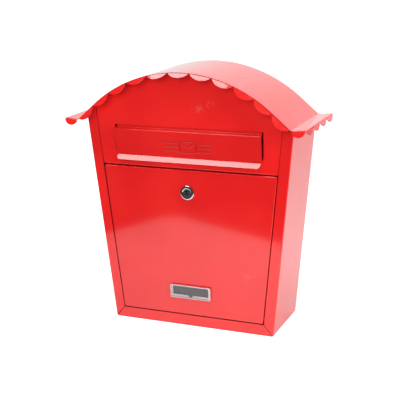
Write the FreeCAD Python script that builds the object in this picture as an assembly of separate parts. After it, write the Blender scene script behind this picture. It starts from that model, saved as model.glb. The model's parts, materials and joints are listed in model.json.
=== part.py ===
import FreeCAD, Part
import math
import os

# Wall mounted letter box of folded sheet steel, in millimetres.
# The model is drawn with x to the right, y into the wall from the front face, z up from the floor.
# Each piece is moved at the end so that the origin is the centre of the wall fixing holes.

# Sheet
SHEET = 1.0
INNER_BEND = 1.0
REBATE_BEND = 0.5

# Fits
ROOF_GAP = 0.2
HOLE_CLEARANCE = 0.2
RUNNING_CLEARANCE = 0.05
TAIL_GAP = 0.3
CUT_PAST = 0.2
NEAR = 0.2

# Folded body
SIDE_LEAN = 5.96
BODY_DEPTH = 107.6
EAVES_HEIGHT = 309.1
FLOOR_CORNER_RADIUS = 3.0
SIDE_RETURN = 15.6
FLOOR_RETURN = 16.8
BACK_RETURN = 12.0
MITRE_GAP = 0.8
CORNER_NOTCH = 3.0
TOP_FLANGE = 10.0
TOP_FLANGE_SETBACK = 12.0
BACK_PANEL_INSET = 1.0

# Roof
ROOF_WIDTH = 365.0
EAVES_REACH = 23.7
ROOF_RISE = 73.1
ROOF_OVERHANG = 22.2
FLARE_LIFT = 2.0
CREASE_OUT = 2.7
CREASE_RADIUS = 6.0
TAB_BEND_RADIUS = 2.0
ARCH_SCALLOPS = 11
SIDE_SCALLOPS = 4
ARCH_SCALLOP_DEPTH = 7.8
EDGE_SCALLOP_DEPTH = 8.0
LIFTED_SCALLOPS = 3
LIFTED_LEAN = 45.0
HALF_LIFTED_LEAN = 40.0
ARCH_LEAN = 20.0
FLARE_LEAN = 18.0
SIDE_TAB_LEAN = 4.0
SCALLOP_RELIEF = 0.8

# Weld tabs that carry the roof
WELD_TAB_REACH = 9.0
WELD_TAB_WIDTH = 26.0
WELD_TAB_SPREAD = 23.0

# Door
DOOR_TOP = 238.9
DOOR_GAP = 1.5
DOOR_PROUD = 1.0
DOOR_FLANGE = 10.0
DOOR_EDGE_RADIUS = 1.5
DOOR_CORNER_RADIUS = 2.0
DOOR_CORNER_RELIEF = 2.5
DOOR_HINGE_RISE = 6.0
DOOR_HINGE_INSET = 5.0
DOOR_STOP_GAP = 0.3
PIVOT_RADIUS = 2.0
PIVOT_HEAD_RADIUS = 2.6
PIVOT_HEAD_THICKNESS = 1.5
PIVOT_HEAD_GAP = 0.8
BRACKET_SHEET = 1.2
BRACKET_HEIGHT = 13.0
BRACKET_BASE = 10.0
BRACKET_SETBACK = 0.8
BRACKET_EAR = 5.0

# Front panel and letter slot
REBATE_DEPTH = 8.0
PANEL_SIDE_GAP = 0.3
SLOT_WIDTH = 228.8
SLOT_BOTTOM = 262.0
SLOT_HEIGHT = 38.5
SLOT_CORNER_RADIUS = 0.8

# Letter flap
FLAP_END_GAP = 1.9
FLAP_PROUD = 3.5
FLAP_FOOT_PROUD = 0.6
FLAP_OVERLAP = 5.4
FLAP_FACE_HEIGHT = 38.1
FLAP_SHOULDER_RISE = 2.2
FLAP_STOP_HEIGHT = 8.0
FLAP_STOP_GAP = 0.3
LIP_LENGTH = 8.6
LIP_ANGLE = 40.0
LIP_SET_IN = 1.9
LIP_CORNER_RADIUS = 5.0
FLAP_HINGE_DROP = 9.6
FLAP_HINGE_INSET = 5.0
FLAP_EAR_RADIUS = 4.0
FLAP_EAR_INSET = 0.8
ROD_RADIUS = 1.5
ROD_CLIP_RADIUS = 2.8
ROD_CLIP_THICKNESS = 0.8
ROD_CLIP_GAP = 0.3
ROD_TAIL = 1.2
ROD_CHAMFER = 0.4

# Cam lock
LOCK_BELOW_TOP = 31.9
LOCK_HEAD_RADIUS = 10.7
LOCK_HEAD_HEIGHT = 5.4
LOCK_HEAD_ROUND = 1.8
LOCK_BARREL_RADIUS = 8.0
LOCK_FLATS = 14.0
LOCK_BARREL_END = 0.4
PLUG_RADIUS = 6.0
PLUG_RECESS = 0.6
KEY_SLOT_WIDTH = 1.8
KEY_SLOT_HEIGHT = 7.6
KEY_SLOT_DEPTH = 9.0
PLUG_SHANK = 7.0
PLUG_SHANK_CHAMFER = 1.0
PLUG_SHOULDER_GAP = 0.2
CAM_GAP = 1.0
CAM_THICKNESS = 2.0
CAM_LENGTH = 42.0
CAM_EYE_RADIUS = 8.5
CAM_TIP_WIDTH = 12.0
LOCK_NUT_FLATS = 21.0
LOCK_NUT_THICKNESS = 4.0
LOCK_NUT_CHAMFER = 0.5
LOCK_WASHER_THICKNESS = 0.8
LOCK_WASHER_RADIUS = 11.5
CAM_SCREW_RADIUS = 2.0
CAM_SCREW_HEAD_RADIUS = 4.2
CAM_SCREW_HEAD_HEIGHT = 2.2
CAM_SCREW_LENGTH = 8.0
CAM_WASHER_RADIUS = 4.8
CAM_WASHER_THICKNESS = 0.8
DRIVER_SLOT = 1.0
DRIVER_SLOT_DEPTH = 1.0

# Name plate
PLATE_WIDTH = 64.0
PLATE_HEIGHT = 20.0
PLATE_BOTTOM = 44.7
PLATE_DEPTH = 4.0
PLATE_RIM = 1.6
PLATE_FLOOR = 0.6
PLATE_CORNER_RADIUS = 1.2
PLATE_EDGE_RADIUS = 0.5
CARD_LIP = 2.2
CARD_SILL = 3.2
CARD_LIP_THICKNESS = 0.6
CARD_THICKNESS = 0.5
WINDOW_THICKNESS = 0.6
CARD_FIT = 0.15
THUMB_NOTCH_RADIUS = 3.0
PLATE_STUD_RADIUS = 1.2
PLATE_STUD_INSET = 6.0
PLATE_STUD_TAIL = 2.4
PLATE_CLIP_RADIUS = 3.5
PLATE_CLIP_THICKNESS = 0.6

# Wall fixings
FIXING_SPACING_X = 180.0
FIXING_SPACING_Z = 200.0
FIXING_CENTRE_HEIGHT = 170.0
FIXING_HOLE_RADIUS = 3.25

# Values worked out from the sizes above
OUTER_BEND = INNER_BEND + SHEET
EAVES_HALF = ROOF_WIDTH / 2 - EAVES_REACH
WRAP_DEPTH = BODY_DEPTH - SHEET
ROOF_SEAT = SHEET + ROOF_GAP
CROWN_HEIGHT = EAVES_HEIGHT + ROOF_RISE
PANEL_FRONT = SHEET
PANEL_BACK = PANEL_FRONT + SHEET
DOOR_BOTTOM = FLOOR_RETURN + DOOR_GAP
DOOR_BACK = DOOR_FLANGE - DOOR_PROUD
PANEL_BOTTOM = DOOR_TOP + DOOR_GAP
REBATE_FRONT = DOOR_BACK + DOOR_STOP_GAP
HINGE_Y = DOOR_HINGE_INSET
HINGE_Z = DOOR_BOTTOM + DOOR_HINGE_RISE
SLOT_TOP = SLOT_BOTTOM + SLOT_HEIGHT
ROD_Y = FLAP_HINGE_INSET
ROD_Z = SLOT_TOP - FLAP_HINGE_DROP
FLAP_HALF = SLOT_WIDTH / 2 - FLAP_END_GAP
LIP_HALF = FLAP_HALF - LIP_SET_IN
LOCK_Z = DOOR_TOP - LOCK_BELOW_TOP
CAM_FRONT = REBATE_FRONT + SHEET + CAM_GAP

# Numbers of the drawing itself
LONG = 1000.0
FULL_TURN = 360.0
SQUARE = 90.0
NUT_SIDES = 6
SEARCH_STEPS = 60
FLATTEST_ARCH = 0.05
ROUNDEST_ARCH = 1.5
SAME_POINT = 1e-6


def point(x, y, z):
    return FreeCAD.Vector(x, y, z)


def half_width(z):
    """Half width of the body's outer face at a height: the sides lean outwards up to the eaves."""
    return EAVES_HALF - (EAVES_HEIGHT - z) * math.tan(math.radians(SIDE_LEAN))


def face_of(edges):
    return Part.Face(Part.Wire(edges))


def loop_face(points):
    return Part.Face(Part.makePolygon(points + [points[0]]))


def box(x0, x1, y0, y1, z0, z1):
    return Part.makeBox(x1 - x0, y1 - y0, z1 - z0, point(x0, y0, z0))


def rod_x(radius, x0, x1, y, z):
    return Part.makeCylinder(radius, x1 - x0, point(x0, y, z), point(1, 0, 0))


def rod_y(radius, y0, y1, x, z):
    return Part.makeCylinder(radius, y1 - y0, point(x, y0, z), point(0, 1, 0))


def mirrored(shape):
    return shape.mirror(point(0, 0, 0), point(1, 0, 0))


def both_sides(shape):
    return [shape, mirrored(shape)]


def tidy(shape):
    return shape.removeSplitter()


def crease_x():
    """Half distance between the creases, which lie a little outside the body's sides."""
    return EAVES_HALF + CREASE_OUT


def arch_angle():
    """Half angle of the crown arc.

    Each end of the arch is one straight scallop, and the arc holds the rest, so
    the arc is (n - 2) / 2 scallops long on each side. The angle is the one at
    which the rise over the half span comes out right, found by halving.
    """
    wanted = ROOF_RISE / crease_x()
    share = 2.0 / (ARCH_SCALLOPS - 2)
    low = FLATTEST_ARCH
    high = ROUNDEST_ARCH
    for _ in range(SEARCH_STEPS):
        middle = (low + high) / 2
        rise = 1 - math.cos(middle) + share * middle * math.sin(middle)
        span = math.sin(middle) + share * middle * math.cos(middle)
        if rise / span < wanted:
            low = middle
        else:
            high = middle
    return low


def arch_radius():
    angle = arch_angle()
    share = 2.0 / (ARCH_SCALLOPS - 2)
    return crease_x() / (math.sin(angle) + share * angle * math.cos(angle))


ARCH_ANGLE = arch_angle()
ARCH_RADIUS = arch_radius()
SCALLOP_PITCH = ARCH_RADIUS * ARCH_ANGLE * 2 / (ARCH_SCALLOPS - 2)
ARCH_CENTRE = CROWN_HEIGHT - ARCH_RADIUS
CREASE_X = crease_x()
FLARE_EDGE = ROOF_WIDTH / 2 - TAB_BEND_RADIUS
FLARE_ANGLE = math.atan2(FLARE_LIFT, FLARE_EDGE - CREASE_X)
CREASE_TANGENT = CREASE_RADIUS * math.tan((ARCH_ANGLE + FLARE_ANGLE) / 2)


def xz(x, z):
    return point(x, 0, z)


def spring_point(depth):
    """Where the crown arc ends on the right, `depth` below the roof's top face."""
    radius = ARCH_RADIUS - depth
    return xz(radius * math.sin(ARCH_ANGLE), ARCH_CENTRE + radius * math.cos(ARCH_ANGLE))


def roof_edges(depth):
    """Roof line beyond the crown arc on the right, `depth` below the top face.

    The line is a straight end that leaves the arc at a tangent, an arc round the
    crease whose centre is above the sheet, and the flare.
    """
    down_slope = xz(math.cos(ARCH_ANGLE), -math.sin(ARCH_ANGLE))
    slope_in = xz(-math.sin(ARCH_ANGLE), -math.cos(ARCH_ANGLE))
    along_flare = xz(math.cos(FLARE_ANGLE), math.sin(FLARE_ANGLE))
    flare_in = xz(math.sin(FLARE_ANGLE), -math.cos(FLARE_ANGLE))
    crease = xz(CREASE_X, EAVES_HEIGHT)
    before = crease - down_slope * CREASE_TANGENT + slope_in * depth
    after = crease + along_flare * CREASE_TANGENT + flare_in * depth
    centre = crease - down_slope * CREASE_TANGENT - slope_in * CREASE_RADIUS
    middle = (slope_in + flare_in).normalize()
    lowest = centre + middle * (CREASE_RADIUS + depth)
    edge = xz(FLARE_EDGE, EAVES_HEIGHT + FLARE_LIFT) + flare_in * depth
    return [
        Part.LineSegment(spring_point(depth), before).toShape(),
        Part.Arc(before, lowest, after).toShape(),
        Part.LineSegment(after, edge).toShape(),
    ]


def roof_line(depth):
    """Whole roof line, from the left flare's edge over the crown to the right one."""
    right = roof_edges(depth)
    left = [mirrored(edge) for edge in right]
    spring = spring_point(depth)
    crown = xz(0, CROWN_HEIGHT - depth)
    return left[::-1] + [Part.Arc(xz(-spring.x, spring.z), crown, spring).toShape()] + right


def line_end(depth, side):
    edge = roof_edges(depth)[-1].Vertexes[-1].Point
    return xz(edge.x * side, edge.z)


def under_roof(depth, y0, y1):
    """Solid below the roof line `depth` down, down to the floor."""
    right = line_end(depth, 1)
    left = line_end(depth, -1)
    low_right = xz(right.x, 0)
    low_left = xz(left.x, 0)
    sides = [
        Part.LineSegment(right, low_right).toShape(),
        Part.LineSegment(low_right, low_left).toShape(),
        Part.LineSegment(low_left, left).toShape(),
    ]
    face = face_of(roof_line(depth) + sides)
    face.translate(point(0, y0, 0))
    return face.extrude(point(0, y1 - y0, 0))


def roof_band(upper, lower, y0, y1):
    """Sheet between two roof lines."""
    ends = [
        Part.LineSegment(line_end(upper, 1), line_end(lower, 1)).toShape(),
        Part.LineSegment(line_end(upper, -1), line_end(lower, -1)).toShape(),
    ]
    edges = Part.__sortEdges__(roof_line(upper) + roof_line(lower) + ends)
    face = face_of(edges)
    face.translate(point(0, y0, 0))
    return face.extrude(point(0, y1 - y0, 0))


def lean_prism(side_inset, bottom, top, y0, y1, corner):
    """Upright prism with leaning sides, `side_inset` in from the body, with round lower corners."""
    outline = [
        point(-half_width(bottom) + side_inset, y0, bottom),
        point(half_width(bottom) - side_inset, y0, bottom),
        point(half_width(top) - side_inset, y0, top),
        point(-half_width(top) + side_inset, y0, top),
    ]
    solid = loop_face(outline).extrude(point(0, y1 - y0, 0))
    if corner <= 0:
        return solid
    low = [edge for edge in solid.Edges if along_y(edge) and edge.CenterOfMass.z < bottom + NEAR]
    return solid.makeFillet(corner, low)


def along_y(edge):
    box_of = edge.BoundBox
    return box_of.YLength > box_of.XLength and box_of.YLength > box_of.ZLength


def level_edges(solid, y, below):
    """Edges that lie in the plane at y, but for the one along the top."""
    found = []
    for edge in solid.Edges:
        bounds = edge.BoundBox
        if abs(bounds.YMin - y) < NEAR and abs(bounds.YMax - y) < NEAR and bounds.ZMin < below:
            found.append(edge)
    return found


def rounded_tray(inset, y0, y1, bottom, corner, radius, top):
    """Prism whose front and back edges are rounded all round but for the top."""
    solid = lean_prism(inset, bottom, top, y0, y1, corner)
    edges = level_edges(solid, y0, top - NEAR) + level_edges(solid, y1, top - NEAR)
    return solid.makeFillet(radius, edges)


def side_inset_of(gap):
    """Level width that a square gap takes on a leaning side."""
    return gap / math.cos(math.radians(SIDE_LEAN))


def mitre_cut():
    """Thin slit from the window's corner to the body's corner, through the front return."""
    inner = point(half_width(FLOOR_RETURN) - SIDE_RETURN, 0, FLOOR_RETURN)
    outer = point(half_width(0), 0, 0)
    run = outer - inner
    angle = math.degrees(math.atan2(run.z, run.x))
    half = MITRE_GAP / 2
    slit = box(-MITRE_GAP, run.Length + CORNER_NOTCH, -CUT_PAST, OUTER_BEND, -half, half)
    slit.rotate(point(0, 0, 0), point(0, 1, 0), -angle)
    slit.translate(inner)
    return slit


def corner_notch():
    """Square relief where the side, the floor and the back returns meet."""
    corner = half_width(0)
    left = corner - CORNER_NOTCH
    right = corner + CORNER_NOTCH
    back = WRAP_DEPTH + CUT_PAST
    return box(left, right, back - CORNER_NOTCH, back, -CUT_PAST, CORNER_NOTCH)


def top_flange():
    """Strip along a side's top that lies under the straight end of the arch."""
    start = EAVES_HALF - side_inset_of(SHEET)
    reach = TOP_FLANGE * math.cos(ARCH_ANGLE)
    front = TOP_FLANGE_SETBACK
    strip = roof_band(ROOF_SEAT, ROOF_SEAT + SHEET, front, WRAP_DEPTH - front)
    low = EAVES_HEIGHT - TOP_FLANGE
    keep = box(start - reach, start + SHEET / 2, 0, WRAP_DEPTH, low, CROWN_HEIGHT)
    return strip.common(keep)


def body_wrap():
    """Sides and floor folded from one strip, with returns front and back."""
    inset = side_inset_of(SHEET)
    above = CROWN_HEIGHT + SHEET
    rear = WRAP_DEPTH - SHEET
    inner_corner = FLOOR_CORNER_RADIUS - SHEET
    outer = rounded_tray(0, 0, WRAP_DEPTH, 0, FLOOR_CORNER_RADIUS, OUTER_BEND, CROWN_HEIGHT)
    inner = rounded_tray(inset, SHEET, rear, SHEET, inner_corner, INNER_BEND, above)
    front = lean_prism(SIDE_RETURN, FLOOR_RETURN, above, -SHEET, 2 * SHEET, 0)
    back = lean_prism(BACK_RETURN, BACK_RETURN, above, rear - SHEET, WRAP_DEPTH + SHEET, 0)
    shell = outer.cut([inner, front, back])
    shell = shell.common(under_roof(ROOF_SEAT, -SHEET, BODY_DEPTH))
    shell = shell.cut(both_sides(mitre_cut()) + both_sides(corner_notch()))
    return tidy(shell.fuse(both_sides(top_flange())))


def arch_point(angle, radius, y):
    return point(radius * math.sin(angle), y, ARCH_CENTRE + radius * math.cos(angle))


def turn_on_arch(shape, angle):
    """Swing a shape round the arch's axis, from the crown to the right."""
    moved = shape.copy()
    moved.rotate(point(0, 0, ARCH_CENTRE), point(0, 1, 0), math.degrees(angle))
    return moved


def weld_tab(y0, y1, angle):
    """Arc shaped tab that lies against the roof's underside."""
    top = CROWN_HEIGHT - ROOF_SEAT
    half = WELD_TAB_WIDTH / 2 / ARCH_RADIUS
    face = loop_face([
        point(0, y0, top - SHEET),
        point(0, y1, top - SHEET),
        point(0, y1, top),
        point(0, y0, top),
    ])
    face = turn_on_arch(face, angle - half)
    return face.revolve(point(0, 0, ARCH_CENTRE), point(0, 1, 0), math.degrees(2 * half))


def weld_tabs(y0, y1):
    spread = math.radians(WELD_TAB_SPREAD)
    return [weld_tab(y0, y1, angle) for angle in (-spread, 0, spread)]


def back_panel():
    """Flat back with the arched top, its roof tabs and the four wall holes."""
    inset = BACK_PANEL_INSET
    corner = FLOOR_CORNER_RADIUS
    plate = lean_prism(inset, inset, CROWN_HEIGHT, WRAP_DEPTH, BODY_DEPTH, corner)
    plate = plate.common(under_roof(ROOF_SEAT, WRAP_DEPTH, BODY_DEPTH))
    plate = plate.fuse(weld_tabs(BODY_DEPTH - WELD_TAB_REACH, BODY_DEPTH))
    return tidy(plate.cut(fixing_holes()))


def fixing_holes():
    holes = []
    for x in (-FIXING_SPACING_X / 2, FIXING_SPACING_X / 2):
        for z in (-FIXING_SPACING_Z / 2, FIXING_SPACING_Z / 2):
            height = FIXING_CENTRE_HEIGHT + z
            holes.append(rod_y(FIXING_HOLE_RADIUS, WRAP_DEPTH - SHEET, BODY_DEPTH + SHEET, x, height))
    return holes


def bent_sheet(points, thickness, inner):
    """Face of a folded sheet in the y-z plane.

    The points are the corners of the sheet's left-hand line as it is walked, and the
    sheet lies to the right of it. At each corner the inside of the bend has the radius
    `inner`, and the outside that radius and the thickness.
    """
    near = []
    far = []
    count = len(points)
    for index, corner in enumerate(points):
        ahead = points[min(index + 1, count - 1)]
        behind = points[max(index - 1, 0)]
        if index in (0, count - 1):
            right = to_right(ahead - behind)
            near.append([corner])
            far.append([corner + right * thickness])
            continue
        before = (corner - behind).normalize()
        after = (ahead - corner).normalize()
        left_turn = before.y * after.z - before.z * after.y
        towards = -1 if left_turn > 0 else 1
        radius = inner if left_turn > 0 else inner + thickness
        half = before.getAngle(after) / 2
        step = radius * math.tan(half)
        start = corner - before * step
        end = corner + after * step
        centre = start + to_right(before) * (radius * towards)
        outward = (corner - centre).normalize()
        other = radius - thickness * towards
        near.append([start, centre + outward * radius, end])
        far.append([start + to_right(before) * thickness, centre + outward * other,
                    end + to_right(after) * thickness])
    return ribbon_face(near, far)


def to_right(run):
    """Unit vector to the right of a run in the y-z plane."""
    return point(0, run.z, -run.y).normalize()


def path_edges(stations):
    edges = []
    last = None
    for station in stations:
        if last is not None and (station[0] - last).Length > SAME_POINT:
            edges.append(Part.LineSegment(last, station[0]).toShape())
        if len(station) == 3:
            edges.append(Part.Arc(*station).toShape())
        last = station[-1]
    return edges


def ribbon_face(near, far):
    caps = [
        Part.LineSegment(near[0][0], far[0][0]).toShape(),
        Part.LineSegment(near[-1][-1], far[-1][-1]).toShape(),
    ]
    return face_of(Part.__sortEdges__(path_edges(near) + path_edges(far) + caps))


def across(face, half):
    """Extrude a face in the y-z plane to both sides of the middle."""
    moved = face.copy()
    moved.translate(point(-half, 0, 0))
    return moved.extrude(point(2 * half, 0, 0))


def rebate():
    """Inward fold along the front panel's lower edge, turned down to stop the door."""
    rear = REBATE_FRONT + SHEET
    line = [
        point(0, PANEL_FRONT, PANEL_BOTTOM + DOOR_FLANGE),
        point(0, PANEL_FRONT, PANEL_BOTTOM),
        point(0, rear - SHEET, PANEL_BOTTOM),
        point(0, rear - SHEET, PANEL_BOTTOM - REBATE_DEPTH),
    ]
    face = bent_sheet(line[::-1], SHEET, REBATE_BEND)
    return across(face, half_width(PANEL_BOTTOM) - SIDE_RETURN - DOOR_GAP)


def rod_lug():
    """Lug bent back from the slot's end, which carries the flap's rod."""
    x0 = SLOT_WIDTH / 2
    x1 = x0 + SHEET
    lower = ROD_Z - FLAP_EAR_RADIUS
    strap = box(x0, x1, PANEL_FRONT, ROD_Y, lower, ROD_Z + FLAP_EAR_RADIUS)
    return strap.fuse(rod_x(FLAP_EAR_RADIUS, x0, x1, ROD_Y, ROD_Z))


def rod_bore():
    return rod_x(ROD_RADIUS + RUNNING_CLEARANCE, -LONG, LONG, ROD_Y, ROD_Z)


def slot_cut():
    half = SLOT_WIDTH / 2
    cut = box(-half, half, 0, PANEL_BACK + CUT_PAST, SLOT_BOTTOM, SLOT_TOP)
    return cut.makeFillet(SLOT_CORNER_RADIUS, [edge for edge in cut.Edges if along_y(edge)])


def front_panel():
    """Upper front with the letter slot, behind the body's returns."""
    inset = side_inset_of(SHEET + INNER_BEND) + PANEL_SIDE_GAP
    start = PANEL_BOTTOM + OUTER_BEND
    plate = lean_prism(inset, start, CROWN_HEIGHT, PANEL_FRONT, PANEL_BACK, 0)
    plate = plate.common(under_roof(ROOF_SEAT, 0, BODY_DEPTH))
    plate = plate.cut(slot_cut())
    tabs = weld_tabs(PANEL_FRONT, PANEL_FRONT + WELD_TAB_REACH)
    panel = plate.fuse(tabs + both_sides(rod_lug()) + [rebate()])
    return tidy(panel.cut(rod_bore()))


def tab_faces(origin, out, up, lean, length):
    """Faces of a tab's bend and leg, in the plane of `out` and `up`.

    The sheet ends at the origin, on its top face. The bend turns from level until the
    leg stands `lean` degrees from square, and the leg then runs on straight.
    """
    turn = math.radians(SQUARE - lean)
    centre = origin - up * TAB_BEND_RADIUS
    inner = TAB_BEND_RADIUS - SHEET

    def spoke(angle):
        return up * math.cos(angle) + out * math.sin(angle)

    along = out * math.cos(turn) - up * math.sin(turn)
    start = centre + spoke(turn) * TAB_BEND_RADIUS
    inside = centre + spoke(turn) * inner
    bend = face_of([
        Part.Arc(origin, centre + spoke(turn / 2) * TAB_BEND_RADIUS, start).toShape(),
        Part.LineSegment(start, inside).toShape(),
        Part.Arc(inside, centre + spoke(turn / 2) * inner, centre + up * inner).toShape(),
        Part.LineSegment(centre + up * inner, origin).toShape(),
    ])
    leg = loop_face([start, start + along * length, inside + along * length, inside])
    return bend, leg, start, along, spoke(turn)


def lobe_disc(start, along, outward, lean, half, depth, sag):
    """Disc that trims a tab to a scallop: a circle through its two cusps and its tip.

    The cusps are on the sheet's edge, where the bend starts. `sag` is how much lower
    they lie than the middle of a curved edge.
    """
    rise = TAB_BEND_RADIUS * math.cos(math.radians(lean))
    drop = depth + rise - sag
    radius = (half * half + drop * drop) / (2 * drop)
    reach = 2 * TAB_BEND_RADIUS
    centre = start + along * (depth - radius) - outward * reach
    return Part.makeCylinder(radius, 2 * reach, centre, outward)


def scallop_lean(place):
    """Lean of an arch scallop, by how many places it is past the lifted ones."""
    if place <= 0:
        return LIFTED_LEAN
    return HALF_LIFTED_LEAN if place == 1 else ARCH_LEAN


def arch_scallop(index):
    """Scallop on the round part of the arch, turned about the arch's axis."""
    angle = index * SCALLOP_PITCH / ARCH_RADIUS
    lean = scallop_lean(abs(index) - LIFTED_SCALLOPS // 2)
    half = (SCALLOP_PITCH - SCALLOP_RELIEF) / 2 / ARCH_RADIUS
    origin = point(0, -ROOF_OVERHANG, CROWN_HEIGHT)
    length = ARCH_SCALLOP_DEPTH + CUT_PAST
    bend, leg, start, along, outward = tab_faces(origin, point(0, -1, 0), point(0, 0, 1), lean, length)
    axis = (point(0, 0, ARCH_CENTRE), point(0, 1, 0), math.degrees(2 * half))
    bend = turn_on_arch(bend, -half).revolve(*axis)
    leg = turn_on_arch(leg, -half).revolve(*axis)
    sag = ARCH_RADIUS * (1 - math.cos(half)) * math.cos(math.radians(lean))
    half_pitch = SCALLOP_PITCH / 2
    disc = lobe_disc(start, along, outward, lean, half_pitch, ARCH_SCALLOP_DEPTH, sag)
    return [turn_on_arch(bend.common(disc), angle), turn_on_arch(leg.common(disc), angle)]


def straight_scallop(middle, run, out, up, lean, widths, pitch, depth):
    """Scallop on a straight edge: `middle` is the middle of the edge's top.

    The two widths are those of the bend and of the leg below it.
    """
    bend, leg, start, along, outward = tab_faces(middle, out, up, lean, depth + CUT_PAST)
    disc = lobe_disc(start, along, outward, lean, pitch / 2, depth, 0)
    solids = []
    for face, width in ((bend, widths[0]), (leg, widths[1])):
        side = run * (width / 2)
        face.translate(side * -1)
        solids.append(face.extrude(side * 2).common(disc))
    return solids


def end_scallop():
    """Scallop on the straight end of the arch."""
    run = point(math.cos(ARCH_ANGLE), 0, -math.sin(ARCH_ANGLE))
    up = point(math.sin(ARCH_ANGLE), 0, math.cos(ARCH_ANGLE))
    crease = point(CREASE_X, -ROOF_OVERHANG, EAVES_HEIGHT)
    pitch = SCALLOP_PITCH
    depth = ARCH_SCALLOP_DEPTH
    width = pitch - SCALLOP_RELIEF / 2 - CREASE_TANGENT
    middle = crease - run * (CREASE_TANGENT + width / 2)
    widths = (width, width)
    return straight_scallop(middle, run, point(0, -1, 0), up, ARCH_LEAN, widths, pitch, depth)


def flare_scallop():
    """Scallop on the front edge of the flare, which runs past its bend at both ends."""
    run = point(math.cos(FLARE_ANGLE), 0, math.sin(FLARE_ANGLE))
    up = point(-math.sin(FLARE_ANGLE), 0, math.cos(FLARE_ANGLE))
    crease = point(CREASE_X, -ROOF_OVERHANG, EAVES_HEIGHT)
    edge = point(FLARE_EDGE, -ROOF_OVERHANG, EAVES_HEIGHT + FLARE_LIFT)
    pitch = (edge - crease).Length + TAB_BEND_RADIUS
    depth = EDGE_SCALLOP_DEPTH
    widths = (pitch - 2 * CREASE_TANGENT, pitch - SCALLOP_RELIEF)
    middle = crease + run * (pitch / 2)
    return straight_scallop(middle, run, point(0, -1, 0), up, FLARE_LEAN, widths, pitch, depth)


def side_scallop(index):
    """Scallop on the outer edge of the flare, counted from the front."""
    out = point(math.cos(FLARE_ANGLE), 0, math.sin(FLARE_ANGLE))
    up = point(-math.sin(FLARE_ANGLE), 0, math.cos(FLARE_ANGLE))
    pitch = (BODY_DEPTH + ROOF_OVERHANG) / SIDE_SCALLOPS
    width = pitch - SCALLOP_RELIEF
    y = -ROOF_OVERHANG + pitch * (index + 0.5)
    middle = point(FLARE_EDGE, y, EAVES_HEIGHT + FLARE_LIFT)
    widths = (width, width)
    depth = EDGE_SCALLOP_DEPTH
    return straight_scallop(middle, point(0, 1, 0), out, up, SIDE_TAB_LEAN, widths, pitch, depth)


def roof():
    """Arched roof rolled from one sheet, its edges cut to scallops and bent down."""
    sheet = roof_band(0, SHEET, -ROOF_OVERHANG, BODY_DEPTH)
    tabs = []
    round_half = (ARCH_SCALLOPS - 3) // 2
    for index in range(-round_half, round_half + 1):
        tabs += arch_scallop(index)
    right = end_scallop() + flare_scallop()
    for index in range(SIDE_SCALLOPS):
        right += side_scallop(index)
    for solid in right:
        tabs += both_sides(solid)
    return tidy(sheet.fuse(tabs))


def flap_line():
    """Front line of the flap's section, walked from the lip's tip to the stop's top."""
    lean = math.radians(LIP_ANGLE)
    root = SLOT_BOTTOM - FLAP_OVERLAP
    foot_y = -FLAP_FOOT_PROUD
    face_y = -FLAP_PROUD
    stop_y = PANEL_BACK + FLAP_STOP_GAP
    face_top = root + FLAP_FACE_HEIGHT
    stop_z = face_top + FLAP_SHOULDER_RISE
    return [
        point(0, foot_y - LIP_LENGTH * math.sin(lean), root - LIP_LENGTH * math.cos(lean)),
        point(0, foot_y, root),
        point(0, face_y, face_top),
        point(0, stop_y, stop_z),
        point(0, stop_y, stop_z + FLAP_STOP_HEIGHT),
    ]


def flap_ear():
    """Ear folded back from the stop's end, with the eye that turns on the rod."""
    x1 = FLAP_HALF - FLAP_EAR_INSET
    x0 = x1 - SHEET
    top = flap_line()[-1].z - SHEET
    front = PANEL_BACK + FLAP_STOP_GAP + SHEET / 2
    strap = box(x0, x1, front, ROD_Y + FLAP_EAR_RADIUS, ROD_Z, top)
    return strap.fuse(rod_x(FLAP_EAR_RADIUS, x0, x1, ROD_Y, ROD_Z))


def lip_corner():
    """What is cut from a square lip to leave a round corner, square to the lip."""
    tip = flap_line()[0]
    root = flap_line()[1]
    along = (tip - root).normalize()
    through = to_right(root - tip)
    radius = LIP_CORNER_RADIUS
    corner = tip + point(LIP_HALF, 0, 0)
    block = Part.Face(Part.makePolygon([
        corner - point(radius, 0, 0) - through * radius,
        corner + point(radius, 0, 0) - through * radius,
        corner + point(radius, 0, 0) - through * radius - along * radius,
        corner - point(radius, 0, 0) - through * radius - along * radius,
        corner - point(radius, 0, 0) - through * radius,
    ])).extrude(through * 3 * radius)
    centre = corner - point(radius, 0, 0) - along * radius - through * 2 * radius
    disc = Part.makeCylinder(radius, 5 * radius, centre, through)
    keep = box(corner.x - 2 * radius, corner.x - radius, -LONG, LONG, 0, LONG)
    return block.cut([disc, keep])


def letter_flap():
    """Flap with its turned-out lip, shoulder and stop, folded from one strip."""
    section = bent_sheet(flap_line(), SHEET, INNER_BEND)
    flap = across(section, FLAP_HALF)
    low = SLOT_TOP - SHEET - FLAP_SHOULDER_RISE
    start = FLAP_HALF - FLAP_EAR_INSET
    trim = box(start, FLAP_HALF + SHEET, 0, BODY_DEPTH, low, CROWN_HEIGHT)
    step = box(LIP_HALF, FLAP_HALF + SHEET, -LONG, LONG, 0, flap_line()[1].z)
    flap = flap.cut(both_sides(trim) + both_sides(step) + both_sides(lip_corner()))
    flap = flap.fuse(both_sides(flap_ear()))
    return tidy(flap.cut(rod_bore()))


def rod_reach():
    return SLOT_WIDTH / 2 + SHEET + ROD_CLIP_GAP + ROD_CLIP_THICKNESS + ROD_TAIL


def flap_hinge_rod():
    rod = rod_x(ROD_RADIUS, -rod_reach(), rod_reach(), ROD_Y, ROD_Z)
    ends = [edge for edge in rod.Edges if edge.BoundBox.XLength < NEAR]
    return rod.makeChamfer(ROD_CHAMFER, ends)


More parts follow.
